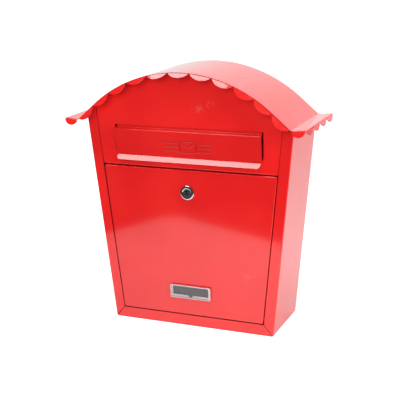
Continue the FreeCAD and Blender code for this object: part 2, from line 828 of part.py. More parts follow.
def rod_clip():
    """Domed push-on clip that keeps the rod in its lugs."""
    x0 = SLOT_WIDTH / 2 + SHEET + ROD_CLIP_GAP
    x1 = x0 + ROD_CLIP_THICKNESS
    bore = ROD_RADIUS + RUNNING_CLEARANCE
    profile = loop_face([
        point(x0, 0, ROD_CLIP_RADIUS),
        point(x1, 0, ROD_CLIP_RADIUS),
        point(x1 + ROD_CLIP_THICKNESS, 0, bore),
        point(x0 + ROD_CLIP_THICKNESS, 0, bore),
    ])
    clip = profile.revolve(point(0, 0, 0), point(1, 0, 0), FULL_TURN)
    clip.translate(point(0, ROD_Y, ROD_Z))
    return clip


def door_tray(inset, front, back, radius):
    """Prism of the door's outline with a rounded front edge."""
    gap = SIDE_RETURN + DOOR_GAP + side_inset_of(inset)
    bottom = DOOR_BOTTOM + inset
    top = DOOR_TOP - inset
    solid = lean_prism(gap, bottom, top, front, back, 0)
    corner = max(DOOR_CORNER_RADIUS - inset, radius + NEAR)
    solid = solid.makeFillet(corner, [edge for edge in solid.Edges if along_y(edge)])
    rim = [edge for edge in solid.Edges if edge.BoundBox.YMax < front + NEAR]
    return solid.makeFillet(radius, rim)


def door_reliefs():
    """Notches that part the door's four flanges at its corners."""
    cuts = []
    size = DOOR_CORNER_RELIEF
    front = DOOR_EDGE_RADIUS
    for z0, z1 in ((DOOR_BOTTOM, DOOR_BOTTOM + size), (DOOR_TOP - size, DOOR_TOP)):
        edge = half_width((z0 + z1) / 2) - SIDE_RETURN - DOOR_GAP
        cut = box(edge - size, edge + size, front, DOOR_FLANGE, z0 - CUT_PAST, z1 + CUT_PAST)
        cuts += both_sides(cut)
    return cuts


def double_d(radius, flats, y0, y1):
    """Round bar with two upright flats, on the lock's axis."""
    bar = rod_y(radius, y0, y1, 0, LOCK_Z)
    return bar.common(box(-flats / 2, flats / 2, y0, y1, LOCK_Z - radius, LOCK_Z + radius))


def plate_studs(radius, y0, y1):
    z = PLATE_BOTTOM + PLATE_HEIGHT / 2
    x = PLATE_WIDTH / 2 - PLATE_STUD_INSET
    return [rod_y(radius, y0, y1, x, z), rod_y(radius, y0, y1, -x, z)]


def door():
    """Door folded to a shallow tray, with the lock's hole and the pivots' holes."""
    outer = door_tray(0, -DOOR_PROUD, DOOR_BACK, DOOR_EDGE_RADIUS)
    inner = door_tray(SHEET, SHEET - DOOR_PROUD, DOOR_BACK + SHEET, DOOR_EDGE_RADIUS - SHEET)
    tray = outer.cut(inner).cut(door_reliefs())
    radius = LOCK_BARREL_RADIUS + HOLE_CLEARANCE
    flats = LOCK_FLATS + 2 * HOLE_CLEARANCE
    lock_hole = double_d(radius, flats, -LOCK_HEAD_HEIGHT, DOOR_FLANGE)
    pivots = rod_x(PIVOT_RADIUS + RUNNING_CLEARANCE, -LONG, LONG, HINGE_Y, HINGE_Z)
    studs = plate_studs(PLATE_STUD_RADIUS + HOLE_CLEARANCE, -DOOR_FLANGE, DOOR_FLANGE)
    return tidy(tray.cut([lock_hole, pivots] + studs))


def bracket_inner():
    return half_width(HINGE_Z) - SIDE_RETURN + BRACKET_SETBACK


def hinge_bracket():
    """Angle welded behind the side return, whose ear carries the door's pivot."""
    x0 = bracket_inner()
    low = HINGE_Z - BRACKET_HEIGHT / 2
    high = HINGE_Z + BRACKET_HEIGHT / 2
    base = box(x0, x0 + BRACKET_BASE, SHEET, SHEET + BRACKET_SHEET, low, high)
    ear_back = HINGE_Y + BRACKET_EAR
    strap = box(x0, x0 + BRACKET_SHEET, SHEET, HINGE_Y, HINGE_Z - BRACKET_EAR, HINGE_Z + BRACKET_EAR)
    nose = rod_x(BRACKET_EAR, x0, x0 + BRACKET_SHEET, HINGE_Y, HINGE_Z)
    nose = nose.common(box(x0 - SHEET, x0 + BRACKET_BASE, SHEET, ear_back, low, high))
    bracket = base.fuse([strap, nose])
    return tidy(bracket.cut(rod_x(PIVOT_RADIUS + RUNNING_CLEARANCE, 0, LONG, HINGE_Y, HINGE_Z)))


def door_pivot():
    """Rivet through the door's side flange and the bracket's ear, on the right."""
    flange_inner = half_width(HINGE_Z) - SIDE_RETURN - DOOR_GAP - side_inset_of(SHEET)
    head_x = flange_inner - PIVOT_HEAD_GAP
    tail_x = bracket_inner() + BRACKET_SHEET + TAIL_GAP
    head = rod_x(PIVOT_HEAD_RADIUS, head_x - PIVOT_HEAD_THICKNESS, head_x, HINGE_Y, HINGE_Z)
    shank = rod_x(PIVOT_RADIUS, head_x - CUT_PAST, tail_x + CUT_PAST, HINGE_Y, HINGE_Z)
    tail = rod_x(PIVOT_HEAD_RADIUS, tail_x, tail_x + PIVOT_HEAD_THICKNESS, HINGE_Y, HINGE_Z)
    return tidy(head.fuse([shank, tail]))


def about_lock(profile):
    """Turn a profile, given as (radius, y) corners, round the lock's axis."""
    points = [point(radius, y, 0) for radius, y in profile]
    solid = loop_face(points).revolve(point(0, 0, 0), point(0, 1, 0), FULL_TURN)
    solid.translate(point(0, 0, LOCK_Z))
    return solid


def lock_head_front():
    return -DOOR_PROUD - LOCK_HEAD_HEIGHT


def lock_housing():
    """Turned housing: domed head, flatted barrel and the bore for the plug."""
    front = lock_head_front()
    back = CAM_FRONT - LOCK_BARREL_END
    head = rod_y(LOCK_HEAD_RADIUS, front, -DOOR_PROUD, 0, LOCK_Z)
    rim = [edge for edge in head.Edges if edge.BoundBox.YMax < front + NEAR]
    head = head.makeFillet(LOCK_HEAD_ROUND, rim)
    barrel = double_d(LOCK_BARREL_RADIUS, LOCK_FLATS, -DOOR_PROUD - CUT_PAST, back)
    bore = rod_y(PLUG_RADIUS + RUNNING_CLEARANCE, front - SHEET, back + SHEET, 0, LOCK_Z)
    recess = about_lock([
        (0, front - CUT_PAST),
        (PLUG_RADIUS + 2 * PLUG_RECESS + CUT_PAST, front - CUT_PAST),
        (PLUG_RADIUS + RUNNING_CLEARANCE, front + PLUG_RECESS),
        (0, front + PLUG_RECESS),
    ])
    return tidy(head.fuse(barrel).cut([bore, recess]))


def lock_plug():
    """Key plug with its slot in front and a square shank for the cam behind."""
    front = lock_head_front() + PLUG_RECESS
    back = CAM_FRONT - PLUG_SHOULDER_GAP
    barrel = rod_y(PLUG_RADIUS, front, back, 0, LOCK_Z)
    half = PLUG_SHANK / 2
    end = CAM_FRONT + CAM_THICKNESS
    shank = box(-half, half, back - CUT_PAST, end, LOCK_Z - half, LOCK_Z + half)
    corners = [edge for edge in shank.Edges if edge.BoundBox.YLength > CAM_THICKNESS]
    shank = shank.makeChamfer(PLUG_SHANK_CHAMFER, corners)
    wide = KEY_SLOT_WIDTH / 2
    tall = KEY_SLOT_HEIGHT / 2
    deep = front + KEY_SLOT_DEPTH
    slot = box(-wide, wide, front - CUT_PAST, deep, LOCK_Z - tall, LOCK_Z + tall)
    tapped = rod_y(CAM_SCREW_RADIUS + RUNNING_CLEARANCE, screw_end() - SHEET, LONG, 0, LOCK_Z)
    return tidy(barrel.fuse(shank).cut([slot, tapped]))


def screw_seat():
    return CAM_FRONT + CAM_THICKNESS + CAM_WASHER_THICKNESS


def screw_end():
    return screw_seat() - CAM_SCREW_LENGTH


def lock_cam():
    """Flat cam: an eye on the plug's shank and an arm to the left, clear of the rebate."""
    y0 = CAM_FRONT
    y1 = CAM_FRONT + CAM_THICKNESS
    eye = rod_y(CAM_EYE_RADIUS, y0, y1, 0, LOCK_Z)
    tip = CAM_TIP_WIDTH / 2
    arm = loop_face([
        point(0, y0, LOCK_Z - CAM_EYE_RADIUS),
        point(0, y0, LOCK_Z + CAM_EYE_RADIUS),
        point(tip - CAM_LENGTH, y0, LOCK_Z + tip),
        point(tip - CAM_LENGTH, y0, LOCK_Z - tip),
    ]).extrude(point(0, CAM_THICKNESS, 0))
    end = rod_y(tip, y0, y1, tip - CAM_LENGTH, LOCK_Z)
    half = PLUG_SHANK / 2 + RUNNING_CLEARANCE
    eye_hole = box(-half, half, y0 - SHEET, y1 + SHEET, LOCK_Z - half, LOCK_Z + half)
    return tidy(eye.fuse([arm, end]).cut(eye_hole))


def lock_washer():
    y0 = SHEET - DOOR_PROUD
    ring = rod_y(LOCK_WASHER_RADIUS, y0, y0 + LOCK_WASHER_THICKNESS, 0, LOCK_Z)
    return ring.cut(rod_y(LOCK_BARREL_RADIUS + HOLE_CLEARANCE, -LONG, LONG, 0, LOCK_Z))


def lock_nut():
    """Thin hexagon nut that draws the housing to the door."""
    y0 = SHEET - DOOR_PROUD + LOCK_WASHER_THICKNESS
    y1 = y0 + LOCK_NUT_THICKNESS
    turn = math.radians(FULL_TURN / NUT_SIDES)
    corner = LOCK_NUT_FLATS / 2 / math.cos(turn / 2)
    corners = []
    for side in range(NUT_SIDES):
        angle = turn * side
        corners.append(point(corner * math.cos(angle), y0, LOCK_Z + corner * math.sin(angle)))
    prism = loop_face(corners).extrude(point(0, LOCK_NUT_THICKNESS, 0))
    ease = LOCK_NUT_CHAMFER
    dome = about_lock([(0, y0), (corner, y0), (corner, y1 - ease), (corner - 2 * ease, y1), (0, y1)])
    bore = rod_y(LOCK_BARREL_RADIUS + RUNNING_CLEARANCE, y0 - SHEET, y1 + SHEET, 0, LOCK_Z)
    return tidy(prism.common(dome).cut(bore))


def cam_washer():
    y0 = CAM_FRONT + CAM_THICKNESS
    ring = rod_y(CAM_WASHER_RADIUS, y0, y0 + CAM_WASHER_THICKNESS, 0, LOCK_Z)
    return ring.cut(rod_y(CAM_SCREW_RADIUS + HOLE_CLEARANCE, 0, LONG, 0, LOCK_Z))


def cam_screw():
    """Pan head screw with a driver slot."""
    y0 = screw_seat()
    y1 = y0 + CAM_SCREW_HEAD_HEIGHT
    head = rod_y(CAM_SCREW_HEAD_RADIUS, y0, y1, 0, LOCK_Z)
    top = [edge for edge in head.Edges if edge.BoundBox.YMin > y1 - NEAR]
    head = head.makeFillet(CAM_SCREW_HEAD_HEIGHT / 2, top)
    shank = rod_y(CAM_SCREW_RADIUS, screw_end(), y0 + CUT_PAST, 0, LOCK_Z)
    reach = CAM_SCREW_HEAD_RADIUS + SHEET
    half = DRIVER_SLOT / 2
    slot = box(-reach, reach, y1 - DRIVER_SLOT_DEPTH, y1 + SHEET, LOCK_Z - half, LOCK_Z + half)
    return tidy(head.fuse(shank).cut(slot))


def plate_block(inset, y0, y1, radius):
    """Block inside the name plate's outline, with round corners where asked."""
    x = PLATE_WIDTH / 2 - inset
    z0 = PLATE_BOTTOM + inset
    z1 = PLATE_BOTTOM + PLATE_HEIGHT - inset
    block = box(-x, x, y0, y1, z0, z1)
    if radius <= 0:
        return block
    return block.makeFillet(radius, [edge for edge in block.Edges if along_y(edge)])


def nameplate_frame():
    """Holder with a raised rim, a lip on three sides, a thumb notch and two studs."""
    back = -DOOR_PROUD
    front = back - PLATE_DEPTH
    floor = back - PLATE_FLOOR
    lip_back = floor - CARD_THICKNESS - WINDOW_THICKNESS - 2 * CARD_FIT
    block = plate_block(0, front, back, PLATE_CORNER_RADIUS)
    rim = [edge for edge in block.Edges if edge.BoundBox.YMax < front + NEAR]
    block = block.makeFillet(PLATE_EDGE_RADIUS, rim)
    pocket = plate_block(PLATE_RIM, lip_back, floor, 0)
    mouth = plate_block(PLATE_RIM, front - SHEET, lip_back - CARD_LIP_THICKNESS, 0)
    half = PLATE_WIDTH / 2 - PLATE_RIM - CARD_LIP
    sill = PLATE_BOTTOM + PLATE_RIM + CARD_SILL
    top = PLATE_BOTTOM + PLATE_HEIGHT - PLATE_RIM
    sight = box(-half, half, front - SHEET, floor, sill, top)
    notch = rod_y(THUMB_NOTCH_RADIUS, front - SHEET, lip_back, 0, sill)
    studs = plate_studs(PLATE_STUD_RADIUS, back - CUT_PAST, PLATE_STUD_TAIL)
    return tidy(block.cut([pocket, mouth, sight, notch]).fuse(studs))


def nameplate_card():
    back = -DOOR_PROUD - PLATE_FLOOR
    return plate_block(PLATE_RIM + CARD_FIT, back - CARD_THICKNESS, back, 0)


def nameplate_window():
    back = -DOOR_PROUD - PLATE_FLOOR - CARD_THICKNESS - CARD_FIT
    return plate_block(PLATE_RIM + CARD_FIT, back - WINDOW_THICKNESS, back, 0)


def nameplate_clips():
    """Two push-on clips on the holder's studs, behind the door's face."""
    y0 = SHEET - DOOR_PROUD
    rings = plate_studs(PLATE_CLIP_RADIUS, y0, y0 + PLATE_CLIP_THICKNESS)
    bores = plate_studs(PLATE_STUD_RADIUS + RUNNING_CLEARANCE, y0 - SHEET, y0 + SHEET)
    return Part.makeCompound([ring.cut(bores) for ring in rings])


def solids_of(shape):
    solids = shape.Solids
    return solids[0] if len(solids) == 1 else Part.makeCompound(solids)


def save(name, shape):
    placed = solids_of(shape).copy()
    placed.translate(point(0, -BODY_DEPTH, -FIXING_CENTRE_HEIGHT))
    placed.exportStep("parts/" + name + ".step")
    print(name, len(placed.Solids), placed.isValid(), round(placed.Volume, 1))


def main():
    os.makedirs("parts", exist_ok=True)
    save("body_wrap", body_wrap())
    save("back_panel", back_panel())
    save("front_panel", front_panel())
    save("roof", roof())
    save("letter_flap", letter_flap())
    save("flap_hinge_rod", flap_hinge_rod())
    save("rod_clip_right", rod_clip())
    save("rod_clip_left", mirrored(rod_clip()))
    save("door", door())
    save("hinge_bracket_right", hinge_bracket())
    save("hinge_bracket_left", mirrored(hinge_bracket()))
    save("door_pivot_right", door_pivot())
    save("door_pivot_left", mirrored(door_pivot()))
    save("lock_housing", lock_housing())
    save("lock_plug", lock_plug())
    save("lock_cam", lock_cam())
    save("lock_washer", lock_washer())
    save("lock_nut", lock_nut())
    save("cam_washer", cam_washer())
    save("cam_screw", cam_screw())
    save("nameplate_frame", nameplate_frame())
    save("nameplate_card", nameplate_card())
    save("nameplate_window", nameplate_window())
    save("nameplate_clips", nameplate_clips())


main()
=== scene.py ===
import json
import math

import bpy
import numpy as np
from bpy.props import FloatProperty, FloatVectorProperty, PointerProperty
from bpy.types import Operator, Panel, PropertyGroup
from mathutils import Matrix, Vector


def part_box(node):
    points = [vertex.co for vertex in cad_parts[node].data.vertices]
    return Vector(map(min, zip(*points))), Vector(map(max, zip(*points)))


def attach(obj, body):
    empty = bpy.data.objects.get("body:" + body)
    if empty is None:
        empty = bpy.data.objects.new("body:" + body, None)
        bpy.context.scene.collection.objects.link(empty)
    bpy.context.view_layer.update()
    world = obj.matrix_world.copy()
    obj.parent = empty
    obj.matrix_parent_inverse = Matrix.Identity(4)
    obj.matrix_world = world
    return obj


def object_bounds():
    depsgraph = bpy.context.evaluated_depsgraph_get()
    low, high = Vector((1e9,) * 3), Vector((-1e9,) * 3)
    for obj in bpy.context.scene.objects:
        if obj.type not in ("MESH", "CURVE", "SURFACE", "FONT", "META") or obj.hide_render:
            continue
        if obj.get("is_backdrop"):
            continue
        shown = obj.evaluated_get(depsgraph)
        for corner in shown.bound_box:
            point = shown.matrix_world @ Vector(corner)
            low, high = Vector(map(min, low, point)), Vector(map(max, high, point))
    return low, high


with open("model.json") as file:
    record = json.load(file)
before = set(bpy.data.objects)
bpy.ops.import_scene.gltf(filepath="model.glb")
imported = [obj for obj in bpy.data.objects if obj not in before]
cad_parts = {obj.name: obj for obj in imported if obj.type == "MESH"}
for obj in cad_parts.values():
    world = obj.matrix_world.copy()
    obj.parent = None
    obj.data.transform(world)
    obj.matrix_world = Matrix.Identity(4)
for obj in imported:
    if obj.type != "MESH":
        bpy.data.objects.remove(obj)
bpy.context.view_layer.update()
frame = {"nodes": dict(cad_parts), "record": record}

bl_info = {
    "name": "Wall post box",
    "version": (1, 0, 0),
    "blender": (4, 5, 0),
    "location": "View3D > Sidebar > Post Box",
    "description": "Finishes, small pieces and stage of a wall mounted post box",
    "category": "Object",
}

MM = 0.001
# The camera: its place in metres, turn, tilt and roll in degrees, lens and sensor in millimetres
CAMERA_PLACE = (0.560467, -1.365821, 0.406102)
CAMERA_TURN = 23.3344
CAMERA_TILT = 15.4793
CAMERA_ROLL = -1.5714
CAMERA_LENS = 89.362
SENSOR_WIDTH = 36.0

# Where the lamps stand, and what the two upright ones point at
OVERHEAD_PLACE = (-0.40, -0.47, 1.30)
FRONT_PLACE = (0.35, -1.80, 0.62)
RIGHT_PLACE = (1.35, -0.45, 0.45)
LAMP_AIM = (0.0, 0.0, 0.0)

# Colour of what only lights or fills the background
WHITE = (1.0, 1.0, 1.0)

# The room's bright side: how much x, y and z count towards it, and where it fades in
BRIGHT_SIDE = (0.45, 0.45, 0.8)
BRIGHT_FADE = (-0.10, 0.45)
# Share of the dim room's light that gloss and glass don't see
ROOM_LOSS = 0.5

# Where the table's finish fades from one state to another, in metres
BEHIND_FADE = (0.01, 0.05)
DIM_FADE = (-0.42, 0.02)
GLOW_FADE = (-0.15, 0.15)

# Points in the table's grid: front edge, flat top, cove and across
EDGE_STEPS = 12
TABLE_STEPS = 140
COVE_STEPS = 24
ACROSS_STEPS = 160

# Points in the emblem's grids: a bead's profile, a rim corner, half the fold, a bar
BEAD_STEPS = 13
CORNER_STEPS = 7
FOLD_STEPS = 25
BAR_STEPS = 31
# Least cosine by which a bead is widened at a bend of its path
LEAST_COSINE = 0.5
# Distance before the object from which a spot on its front is looked for
PROBE_REACH = 1.0

# Index of refraction of the enamel and of the clear film
ENAMEL_IOR = 1.5
FILM_IOR = 1.45
# Noise levels between which a pattern fades in
CLOUD_FADE = (0.35, 0.65)
HANDLED_FADE = (0.45, 0.75)
STREAK_FADE = (0.42, 0.68)
NOISE_MIDDLE = 0.5
# What handling and rubbing add to the enamel's roughness
HANDLED_BLUR = 0.04
RUBBED_BLUR = 0.25
STREAK_WIDTH = 4 * MM
# Share of a scuff's reach, and of the seam's strip, inside which it is at full strength
SCUFF_CORE = 0.2
SEAM_CORE = 0.75
RIM_SOFTNESS = 0.2 * MM
# Plating: shade of its marks, and how much they change its roughness
MARK_SHADE = 0.92
MARK_BLUR = 0.6
# Card and film
FIBRE_DARK = 0.85
FIBRE_PALE = 1.15
FIBRE_HEIGHT = 0.02 * MM
CARD_ROUGHNESS = 0.8
WIPE_WIDTH = 6 * MM
FILM_BLUR = 0.06

# Rubbed places: the middle, how far each reaches, and how strong it is
SCUFFS = [
    ((0.0165, -0.1066, 0.1583), 13 * MM, 0.65),
    ((0.0363, -0.1066, 0.1648), 9 * MM, 0.45),
    ((0.0882, -0.1086, -0.0818), 9 * MM, 0.45),
    ((0.0457, -0.0976, 0.2070), 7 * MM, 0.55),
]


def size(name, text, default):
    """A length in metres."""
    return FloatProperty(
        name=name, description=text, default=default, unit="LENGTH", precision=5
    )


def share(name, text, default):
    """A number from 0 to 1."""
    return FloatProperty(
        name=name, description=text, default=default, min=0.0, max=1.0, subtype="FACTOR"
    )


def amount(name, text, default):
    """A number from 0 up."""
    return FloatProperty(name=name, description=text, default=default, min=0.0)


def colour(name, text, default):
    """A colour of red, green and blue from 0 to 1."""
    return FloatVectorProperty(
        name=name, description=text, default=default, size=3, min=0.0, max=1.0, subtype="COLOR"
    )


class EnamelSettings(PropertyGroup):
    red: colour("Red", "Colour of the enamel", (0.80, 0.018, 0.016))
    deep_red: colour("Deep red", "Colour where the film is thickest", (0.74, 0.012, 0.012))
    roughness: share("Roughness", "How blurred reflections are in the enamel", 0.09)
    coat: share("Coat", "Strength of the hard top film", 1.0)
    coat_roughness: share("Coat roughness", "How blurred reflections are in the top film", 0.08)
    # Painted light and shade: the flap, door and wrap get darker copies of the one enamel and the
    # front panel a lighter one, standing in for how much light each piece catches
    flap_painted_shade: share("Flap shade", "Depth of the flap's colour against the body's", 0.90)
    door_painted_shade: share("Door shade", "Depth of the door's colour against the body's", 0.91)
    front_painted_light: amount("Front shade", "Depth of the front panel's colour against the body's", 1.05)
    wrap_painted_shade: share("Wrap shade", "Depth of the side and floor sheet's colour", 0.95)
    wrap_gloss: share("Wrap gloss", "Strength of the top film on the side and floor sheet", 0.80)
    # Painted shade: the emblem's enamel is darkened to stand for the shade along its pressed lines
    emblem_painted_shade: share("Emblem shade", "Depth of the emblem's colour against the body's", 0.66)
    emblem_gloss: share("Emblem gloss", "Strength of the top film on the pressed emblem", 0.20)
    # Painted shadow: the colour painted beside the front panel's seams, where the side returns
    # shade it
    seam: colour("Seam", "Colour in the seams beside the front panel", (0.30, 0.010, 0.010))
    # Painted shade: the colour painted on the roof's bend
    rim: colour("Rim", "Colour along the roof's bent rim", (0.42, 0.014, 0.014))
    seam_top: size("Seam top", "Height at which the front panel's seam starts", 139.1 * MM)
    seam_reach: size("Seam reach", "Distance of that seam from the middle at the eaves", 143.2 * MM)
    seam_lean: share("Seam lean", "How far the seam comes in for each metre down", 0.1044)
    seam_width: size("Seam width", "Width of the shaded strip beside the seam", 1.4 * MM)
    rim_start: size("Rim start", "Distance from the body's front to the roof's bent rim", 22.0 * MM)
    rim_end: size("Rim end", "Distance from the body's front to the strip's end", 24.0 * MM)
    scuff: colour("Scuff", "Colour of the pale marks left by handling", (0.86, 0.10, 0.09))
    peel_width: size("Peel width", "Distance between the ripples of the sprayed film", 2.6 * MM)
    peel_height: size("Peel height", "Height of those ripples", 0.002 * MM)
    wave_width: size("Wave width", "Distance between the slight waves of the sheet", 120 * MM)
    wave_height: size("Wave height", "Height of those waves", 0.015 * MM)


class MetalSettings(PropertyGroup):
    chrome: colour("Chrome", "Colour of the polished plate", (0.88, 0.88, 0.89))
    chrome_roughness: share("Chrome roughness", "Blur of the polished plate", 0.05)
    nickel: colour("Nickel", "Colour of the key plug", (0.30, 0.30, 0.31))
    nickel_roughness: share("Nickel roughness", "Blur of the key plug", 0.22)
    zinc: colour("Zinc", "Colour of plated fixings", (0.46, 0.47, 0.49))
    zinc_roughness: share("Zinc roughness", "Blur of plated fixings", 0.32)
    # Painted shade: the hinge rod and clips are near black so that, seen in the flap's side gaps,
    # they read as the gaps' shade
    dull: colour("Dull steel", "Colour of the flap's hinge rod and its clips", (0.11, 0.11, 0.115))
    dull_roughness: share("Dull roughness", "Blur of the hinge rod and its clips", 0.45)
    grain: size("Grain", "Distance between marks in the plating", 1.2 * MM)
    plate: colour("Plate", "Colour of the name plate's satin metal", (0.80, 0.69, 0.70))
    plate_roughness: share("Plate roughness", "Blur of the name plate", 0.28)


class PlateSettings(PropertyGroup):
    card: colour("Card", "Colour of the blank card", (0.135, 0.13, 0.135))
    fibre: size("Fibre", "Distance between the card's fibres", 0.35 * MM)
    film: colour("Film", "Tint of the clear cover", (0.97, 0.98, 0.98))


class EmblemSettings(PropertyGroup):
    width: size("Width", "Width of the pressed envelope", 25 * MM)
    height: size("Height", "Height of the pressed envelope", 16 * MM)
    bead_width: size("Bead width", "Width of the pressed line", 2.6 * MM)
    bead_height: size("Bead height", "How far the pressed line stands out", 0.26 * MM)
    bar: size("Bar", "Length of the pressed bars beside the envelope", 21 * MM)
    bar_gap: size("Bar gap", "Distance between the bars and the envelope", 3.6 * MM)
    bar_pitch: size("Bar pitch", "Distance from one bar to the next", 5.6 * MM)
    corner: size("Corner", "Radius of the envelope's corners", 1.6 * MM)
    fold: share("Fold", "How far down the envelope's flap reaches", 0.56)
    drop: size("Drop", "Distance from the flap's top to the envelope's middle", 32 * MM)
    centre_x: size("Centre across", "Place of the envelope's middle from the flap's middle", 2 * MM)


class StageSettings(PropertyGroup):
    floor_colour: colour("Floor", "Colour of the table and backdrop", (0.70, 0.70, 0.70))
    front: size("Front edge", "Distance from the wall plane's centre to the front edge", 0.538)
    left: size("Left edge", "Distance of the table's left edge", 0.568)
    right: size("Right edge", "Distance of the table's right edge", 1.40)
    back: size("Back edge", "Distance at which the backdrop starts to rise", 0.95)
    rise: size("Rise", "Height of the backdrop", 1.02)
    cove: size("Cove", "Radius between table and backdrop", 0.30)
    corner: size("Corner", "Radius of the table's front corners", 0.045)
    step: size("Step", "How much lower the table is under the open door", 0.025)
    step_start: size("Step start", "Distance before the wall plane at which the drop starts", 0.115)
    step_run: size("Step run", "Distance over which the table drops", 0.05)
    lift: share("Lift", "What is added to the white that the camera sees", 0.60)
    glow: share("Glow", "What is added to the backdrop's white that gloss and glass see", 0.32)
    table_glow: share("Table glow", "What is added to the table's white for gloss and glass", 0.11)
    # Painted shade: the table's colour is darker towards its left, for all but the camera
    painted_shade_left: share("Dim left", "Share of the floor's colour at its left, but for the camera", 0.78)
    room: share("Room", "Brightness of the room in front of the table", 0.10)
    sky: amount("Sky", "Brightness of the room above and behind", 0.95)
    softbox: amount("Softbox", "Power of the lamp overhead", 11.5)
    softbox_width: size("Softbox width", "Width of the lamp overhead", 1.04)
    softbox_depth: size("Softbox depth", "Depth of the lamp overhead", 0.66)
    fill: amount("Fill", "Power of the lamp in front", 20.2)
    fill_width: size("Fill width", "Width of the lamp in front", 0.90)
    fill_depth: size("Fill depth", "Height of the lamp in front", 0.70)
    wing: amount("Wing", "Power of the lamp on the right", 9.5)
    wing_width: size("Wing width", "Width and height of the lamp on the right", 0.80)


class Value:
    """A number socket: its operators add Math nodes."""

    def __init__(self, nodes, socket):
        self.nodes = nodes
        self.socket = socket

    def math(self, operation, *values):
        return self.nodes.add("ShaderNodeMath", {"operation": operation}, *values)

    def __add__(self, other):
        return self.math("ADD", self, other)

    def __radd__(self, other):
        return self.math("ADD", other, self)

    def __sub__(self, other):
        return self.math("SUBTRACT", self, other)

    def __rsub__(self, other):
        return self.math("SUBTRACT", other, self)

    def __mul__(self, other):
        return self.math("MULTIPLY", self, other)

    def __rmul__(self, other):
        return self.math("MULTIPLY", other, self)

    def __abs__(self):
        return self.math("ABSOLUTE", self)

    def clamp(self):
        return self.nodes.add("ShaderNodeClamp", {}, self, 0.0, 1.0)

    def smooth(self, start, end):
        """0 up to start, 1 from end on, and smooth between them; start may be the larger."""
        settings = {"interpolation_type": "SMOOTHSTEP"}
        return self.nodes.add("ShaderNodeMapRange", settings, self, start, end, 0.0, 1.0)


class Nodes:
    """The node tree of a material, a lamp or the world."""

    def __init__(self, tree):
        self.tree = tree
        tree.nodes.clear()

    def add(self, kind, settings, *inputs, out=0, **named):
        """Add a node: its settings first, then what its sockets get, by order or by name."""
        node = self.tree.nodes.new(kind)
        for key, value in settings.items():
            setattr(node, key, value)
        for index, value in enumerate(inputs):
            self.feed(node.inputs[index], value)
        for key, value in named.items():
            self.feed(node.inputs[key.replace("_", " ")], value)
        if not node.outputs:
            return node
        return Value(self, node.outputs[out])

    def feed(self, socket, value):
        if value is None:
            return
        if isinstance(value, Value):
            self.tree.links.new(value.socket, socket)
            return
        if hasattr(value, "__len__") and len(value) == 3 and socket.type == "RGBA":
            value = (*value, 1.0)
        socket.default_value = value

    def place(self):
        """Where the shaded point is on the object, in metres."""
        return self.add("ShaderNodeTexCoord", {}, out="Object")

    def parts(self, vector):
        """The x, y and z of a vector."""
        node = self.tree.nodes.new("ShaderNodeSeparateXYZ")
        self.feed(node.inputs[0], vector)
        return [Value(self, socket) for socket in node.outputs]

    def noise(self, vector, width, detail):
        """Noise whose lumps are about `width` apart, with that much finer detail."""
        return self.add("ShaderNodeTexNoise", {}, Vector=vector, Scale=1.0 / width, Detail=detail)

    def mix(self, factor, first, second):
        """Colour that goes from first to second as factor goes from 0 to 1."""
        node = self.tree.nodes.new("ShaderNodeMix")
        node.data_type = "RGBA"
        self.feed(node.inputs["Factor"], factor)
        colours = [socket for socket in node.inputs if socket.type == "RGBA"]
        self.feed(colours[0], first)
        self.feed(colours[1], second)
        return Value(self, [socket for socket in node.outputs if socket.type == "RGBA"][0])

    def bump(self, height, distance, normal=None):
        """Normal of a surface raised by height, which is 0 to 1, times distance."""
        named = {"Strength": 1.0, "Distance": distance, "Height": height, "Normal": normal}
        return self.add("ShaderNodeBump", {}, **named)

    def finish(self, **named):
        """Principled surface with what its sockets get."""
        shader = self.add("ShaderNodeBsdfPrincipled", {}, **named)
        self.add("ShaderNodeOutputMaterial", {}, Surface=shader)


def new_material(name):
    material = bpy.data.materials.new(name)
    material.use_nodes = True
    return material, Nodes(material.node_tree)


def settings_of(name):
    return getattr(bpy.context.scene, "post_box_" + name)


def dress(names, material):
    """Give CAD nodes a material."""
    for name in names:
        node = frame["nodes"][name]
        node.data.materials.clear()
        node.data.materials.append(material)


def nodes_in_slot(slot):
    """The CAD nodes that the record gives to a material slot."""
    rows = frame["record"]["subparts"]
    return [row["node"] for row in rows if row["material_slot"] == slot]


def enamel(name, depth, gloss=1.0, seam=None, shade_colour=None):
    """Stove enamelled sheet: a deep gloss with a faint ripple, on a sheet that isn't quite flat.

    The colours are multiplied by the depth, which paints light (above 1) and shade (below 1) into
    copies of the one enamel, and the top film by the gloss. Seam works out where shade is painted:
    there the colour goes dark and the film dull.
    """
    look = settings_of("enamel")
    material, nodes = new_material(name)
    place = nodes.place()
    cloud = nodes.noise(place, look.wave_width, detail=2.0)
    red = [value * depth for value in look.red]
    deep_red = [value * depth for value in look.deep_red]
    shade = nodes.mix(cloud.smooth(*CLOUD_FADE), red, deep_red)
    wave = nodes.bump(nodes.noise(place, look.wave_width, detail=0.0), look.wave_height)
    peel = nodes.bump(nodes.noise(place, look.peel_width, detail=1.0), look.peel_height, wave)
    handled = nodes.noise(place, look.wave_width / 2, detail=4.0).smooth(*HANDLED_FADE)
    rubbed = scuffs(nodes, place)
    shade = nodes.mix(rubbed, shade, look.scuff)
    roughness = look.roughness + handled * HANDLED_BLUR + rubbed * RUBBED_BLUR
    coat = look.coat * gloss
    if seam:
        dark = seam(nodes, place)
        shade = nodes.mix(dark, shade, shade_colour)
        coat = coat * (1.0 - dark)
    nodes.finish(
        Base_Color=shade,
        Roughness=roughness,
        IOR=ENAMEL_IOR,
        Coat_Weight=coat,
        Coat_Roughness=look.coat_roughness,
        Normal=peel,
    )
    return material


